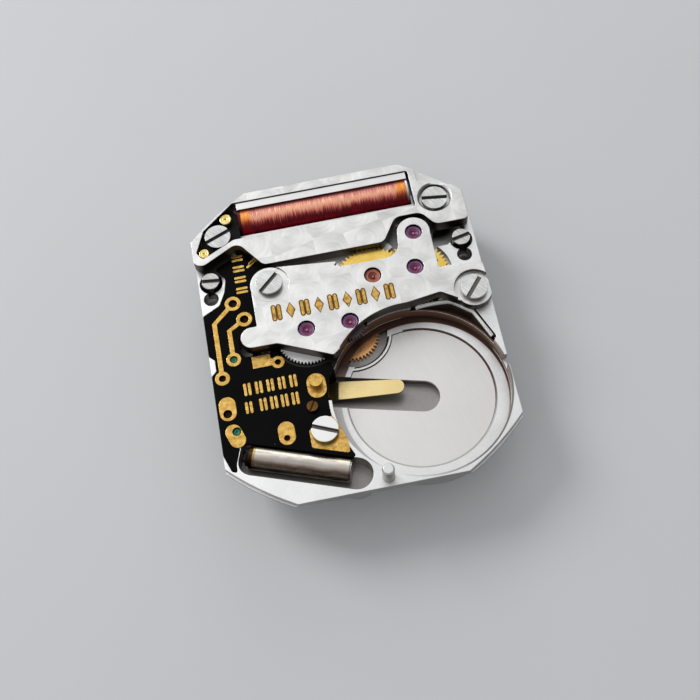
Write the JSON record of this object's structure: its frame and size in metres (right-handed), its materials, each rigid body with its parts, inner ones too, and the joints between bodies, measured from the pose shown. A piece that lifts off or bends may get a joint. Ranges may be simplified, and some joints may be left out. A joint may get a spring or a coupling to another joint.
{
  "type": "quartz watch movement",
  "caption": "Small octagonal quartz watch movement, battery side up: coil, train bridge with jewels, circuit board, crystal can and an open battery well with its spring.",
  "frame": {"origin": "on the axis of the hands, in the face that the dial lies on", "axes": "+Z away from the dial to the battery side, +Y towards the coil, +X towards the battery well's side"},
  "size_m": [0.0132, 0.0156, 0.0039],
  "materials": {
    "plate_metal": "nickel-plated plate with a machined and softly brushed face",
    "bridge_metal": "nickel-plated bridges with fine curved graining",
    "steel": "polished steel screws, pins, pinions and arbors",
    "dark_steel": "soft iron of the stator and core, and plain steel levers",
    "gilt": "gilt brass wheels",
    "gold": "gold plating on tracks, pads, posts and the battery spring",
    "copper_wheel": "copper-coloured wheel",
    "copper_wire": "lacquered copper wire",
    "board": "black lacquered circuit board",
    "black_plastic": "black moulded plastic",
    "ruby": "synthetic ruby",
    "disc": "fine brushed grey insulating disc",
    "can": "drawn nickel-silver can",
    "white_metal": "matt white plated screw",
    "stud_metal": "brownish gilt stud"
  },
  "bodies": {
    "movement": {"main_plate": "plate_metal", "well_disc": "disc", "coil_bridge": "bridge_metal", "train_bridge": "bridge_metal", "upper_jewels": "ruby", "lower_jewels": "ruby", "stator": "dark_steel", "coil_core": "dark_steel", "coil_carrier": "bridge_metal", "coil_winding": "copper_wire", "coil_end_block": "black_plastic", "coil_terminals": "gold", "dial_side_cover": "bridge_metal", "cover_screws": "steel", "circuit_board": "board", "circuit_tracks": "gold", "circuit_chip": "black_plastic", "crystal_can": "can", "crystal_base": "black_plastic", "contact_post": "gold", "board_stud": "stud_metal", "circuit_screw": "white_metal", "spring_foot": "gold", "battery_contact": "steel", "train_bridge_screws": "steel", "coil_screws": "steel", "strap_pin": "steel"},
    "rotor": {"rotor_magnet": "dark_steel", "rotor_pinion": "steel"},
    "step": {"step_wheel": "gilt", "step_pinion": "steel"},
    "intermediate": {"intermediate_wheel": "gilt", "intermediate_pinion": "steel"},
    "third": {"third_wheel": "gilt", "third_pinion": "steel"},
    "centre_wheel_body": {"centre_wheel": "copper_wheel"},
    "centre": {"centre_arbor": "steel", "cannon_pinion": "steel"},
    "setting": {"setting_wheel": "steel", "setting_arbor": "steel"},
    "minute": {"minute_wheel": "gilt"},
    "hour": {"hour_wheel": "gilt"},
    "clutch": {"sliding_pinion": "steel"},
    "yoke_body": {"yoke": "dark_steel"},
    "setting_lever_body": {"setting_lever": "dark_steel"},
    "spring_blade": {"battery_spring": "gold"},
    "dial_screw_l": {"dial_screw_left": "steel"},
    "dial_screw_r": {"dial_screw_right": "steel"}
  },
  "joints": [
    {"name": "rotor_spin", "type": "hinge", "parent": "movement", "child": "rotor", "pos_m": [0.00375, 0.00395, 0.0014], "axis": [0, 0, 1], "continuous": true},
    {"name": "step_spin", "type": "hinge", "parent": "movement", "child": "step", "pos_m": [0.00345, 0.00212, 0.0016], "axis": [0, 0, 1], "continuous": true},
    {"name": "intermediate_spin", "type": "hinge", "parent": "movement", "child": "intermediate", "pos_m": [0.00145, 0.00209, 0.0016], "axis": [0, 0, 1], "continuous": true},
    {"name": "third_spin", "type": "hinge", "parent": "movement", "child": "third", "pos_m": [0.00025, 0.00158, 0.0011], "axis": [0, 0, 1], "continuous": true},
    {"name": "centre_wheel_spin", "type": "hinge", "parent": "movement", "child": "centre_wheel_body", "pos_m": [0, 0, 0.00076], "axis": [0, 0, 1], "continuous": true},
    {"name": "hands_spin", "type": "hinge", "parent": "movement", "child": "centre", "pos_m": [0, 0, 0.0006], "axis": [0, 0, 1], "continuous": true},
    {"name": "setting_spin", "type": "hinge", "parent": "movement", "child": "setting", "pos_m": [-0.002, 0.00003, 0.0016], "axis": [0, 0, 1], "continuous": true},
    {"name": "minute_spin", "type": "hinge", "parent": "movement", "child": "minute", "pos_m": [-0.0013, 0, 0.00034], "axis": [0, 0, 1], "continuous": true},
    {"name": "hour_spin", "type": "hinge", "parent": "movement", "child": "hour", "pos_m": [0, 0, 0.0002], "axis": [0, 0, 1], "continuous": true},
    {"name": "clutch_slide", "type": "slide", "parent": "movement", "child": "clutch", "axis": [1, 0, 0], "range_m": [0, 0.0003]},
    {"name": "yoke_swing", "type": "hinge", "parent": "movement", "child": "yoke_body", "pos_m": [-0.00419, -0.0012, 0.00113], "axis": [0, 0, 1], "range_deg": [-21, 0]},
    {"name": "setting_lever_swing", "type": "hinge", "parent": "movement", "child": "setting_lever_body", "pos_m": [-0.0055, -0.001, 0.00113], "axis": [0, 0, 1], "range_deg": [-4, 8]},
    {"name": "battery_spring_bend", "type": "hinge", "parent": "movement", "child": "spring_blade", "pos_m": [-0.00154, -0.00254, 0.00061], "axis": [0.1702, 0.9854, 0], "range_deg": [0, 5.6], "stiffness_Nm_per_rad": 0.00002},
    {"name": "dial_screw_left_turn", "type": "hinge", "parent": "movement", "child": "dial_screw_l", "pos_m": [-0.006, 0.0036, 0.0013], "axis": [0, 0, 1], "range_deg": [-90, 90]},
    {"name": "dial_screw_right_turn", "type": "hinge", "parent": "movement", "child": "dial_screw_r", "pos_m": [0.00593, 0.00345, 0.0013], "axis": [0, 0, 1], "range_deg": [-90, 90]}
  ],
  "couplings": [
    {"joint": "step_spin", "follows": "rotor_spin", "ratio": -0.16667},
    {"joint": "intermediate_spin", "follows": "rotor_spin", "ratio": 0.033333},
    {"joint": "third_spin", "follows": "rotor_spin", "ratio": -0.0083333},
    {"joint": "centre_wheel_spin", "follows": "rotor_spin", "ratio": 0.0027778},
    {"joint": "setting_spin", "follows": "hands_spin", "ratio": -0.42857},
    {"joint": "minute_spin", "follows": "hands_spin", "ratio": -0.33333},
    {"joint": "hour_spin", "follows": "hands_spin", "ratio": 0.083333},
    {"joint": "yoke_swing", "follows": "clutch_slide", "rad_per_m": -1190.5}
  ]
}
